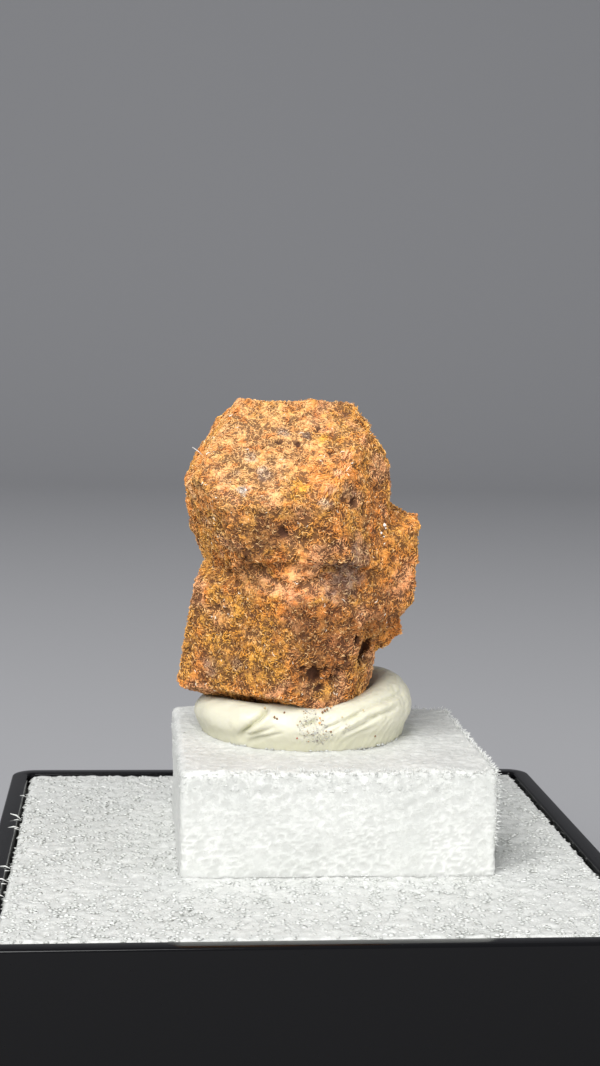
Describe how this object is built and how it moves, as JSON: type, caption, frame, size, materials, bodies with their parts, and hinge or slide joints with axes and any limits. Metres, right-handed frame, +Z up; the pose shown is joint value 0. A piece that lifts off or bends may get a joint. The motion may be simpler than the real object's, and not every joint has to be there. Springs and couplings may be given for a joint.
{
  "type": "mounted mineral specimen",
  "caption": "Rust-crusted andradite garnet crystals grown together, fixed upright in a ring of white mineral tack on a cut foam block in a foam-filled display tray.",
  "frame": {"origin": "middle of the tray's flat bottom, on the surface that it stands on", "axes": "+Z up, -Y towards the front that the picture shows, +X to the right"},
  "size_m": [0.0318, 0.0318, 0.0291],
  "materials": {
    "rusty_garnet": "granular rust-orange crust over brown garnet, dull",
    "white_tack": "kneaded cream-white mineral tack, soft sheen",
    "white_foam": "closed-cell polyethylene foam, cut by hand",
    "black_plastic": "glossy moulded polystyrene"
  },
  "bodies": {
    "root": {"garnet_cluster": "rusty_garnet", "tack_ring": "white_tack", "foam_block": "white_foam", "foam_liner": "white_foam", "display_tray": "black_plastic"}
  },
  "joints": []
}
